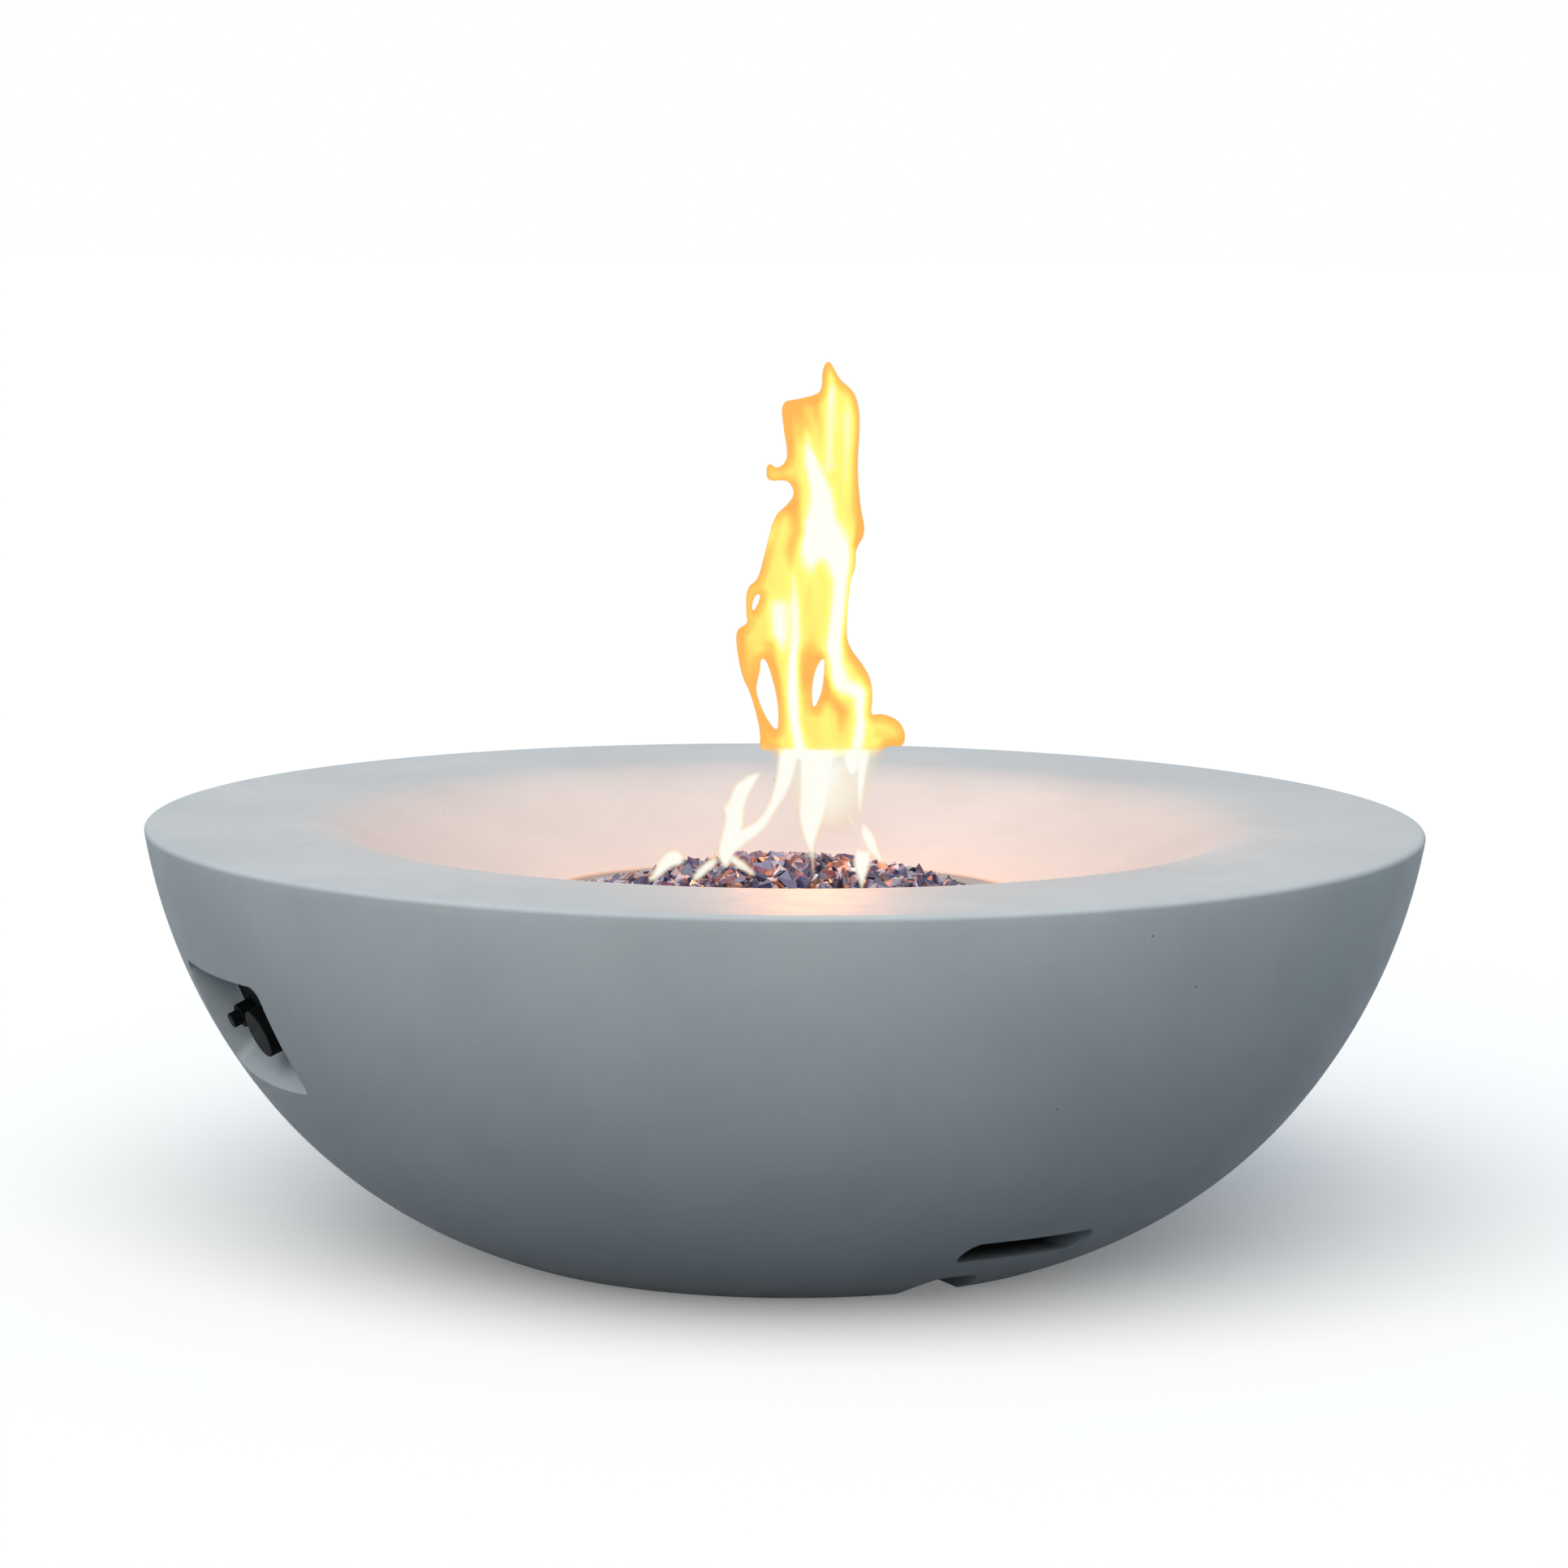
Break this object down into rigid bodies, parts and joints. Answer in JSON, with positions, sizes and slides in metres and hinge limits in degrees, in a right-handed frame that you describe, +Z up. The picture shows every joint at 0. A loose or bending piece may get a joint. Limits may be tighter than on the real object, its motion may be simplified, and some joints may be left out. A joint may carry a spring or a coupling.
{
  "type": "gas fire bowl",
  "caption": "Low round concrete fire bowl with a drop-in gas burner under fire glass, and a recess in its side with a knob and a push-button igniter.",
  "frame": {"origin": "on the ground, in the middle of the bowl", "axes": "+Z up through the middle of the bowl, -Y towards the side seen first, +X to its right"},
  "size_m": [1.0686, 1.0686, 0.353],
  "materials": {
    "concrete": "cast concrete, smooth and slightly mottled, light grey",
    "black_steel": "black powder coat on the control plate",
    "stainless": "stainless sheet and tube, heat-tinted near the flame",
    "zinc_steel": "zinc-plated screws and nuts",
    "black_plastic": "black plastic, satin",
    "brass": "machined brass",
    "valve_cast": "die-cast valve body, bead blasted",
    "black_iron": "black malleable iron fittings",
    "rubber": "black rubber foot pads",
    "hose_skin": "yellow coating on the corrugated gas hose",
    "ceramic": "white glazed insulator",
    "lead_skin": "high-temperature silicone sleeve",
    "copper": "soft copper capillary",
    "glass": "reflective cobalt-blue fire glass",
    "cell": "plain steel-jacketed dry cell"
  },
  "bodies": {
    "bowl": {"bowl_shell": "concrete", "bowl_dish": "concrete", "rubber_feet": "rubber", "burner_pan": "stainless", "burner_ring": "stainless", "burner_nipple": "black_iron", "burner_locknut": "zinc_steel", "burner_elbow": "black_iron", "air_mixer": "black_iron", "orifice_fitting": "brass", "burner_hose": "hose_skin", "hose_nuts": "brass", "control_plate": "black_steel", "plate_screws": "zinc_steel", "plate_inserts": "brass", "valve_body": "valve_cast", "valve_screws": "zinc_steel", "inlet_fitting": "brass", "outlet_fitting": "brass", "thermocouple_nut": "brass", "igniter_body": "black_plastic", "igniter_bezel": "black_plastic", "igniter_battery": "cell", "sensor_bracket": "stainless", "bracket_screws": "zinc_steel", "bracket_nuts": "zinc_steel", "electrode_insulator": "ceramic", "electrode_rod": "stainless", "spark_lead": "lead_skin", "thermocouple": "stainless", "thermocouple_lead": "copper", "fire_glass": "glass"},
    "knob_set": {"knob": "black_plastic", "valve_stem": "brass"},
    "push_rod": {"safety_rod": "brass"},
    "button": {"igniter_button": "black_plastic"}
  },
  "joints": [
    {"name": "button_press", "type": "slide", "parent": "bowl", "child": "button", "axis": [0.8176, 0.4076, 0.4067], "range_m": [0, 0.003], "stiffness_N_per_m": 1200, "springref_m": -0.001},
    {"name": "knob_push", "type": "slide", "parent": "bowl", "child": "push_rod", "axis": [0.8176, 0.4076, 0.4067], "range_m": [0, 0.004], "stiffness_N_per_m": 1500, "springref_m": -0.002},
    {"name": "knob_turn", "type": "hinge", "parent": "push_rod", "child": "knob_set", "pos_m": [-0.40483, -0.22084, 0.21374], "axis": [-0.8176, -0.4076, -0.4067], "range_deg": [-90, 90]}
  ]
}
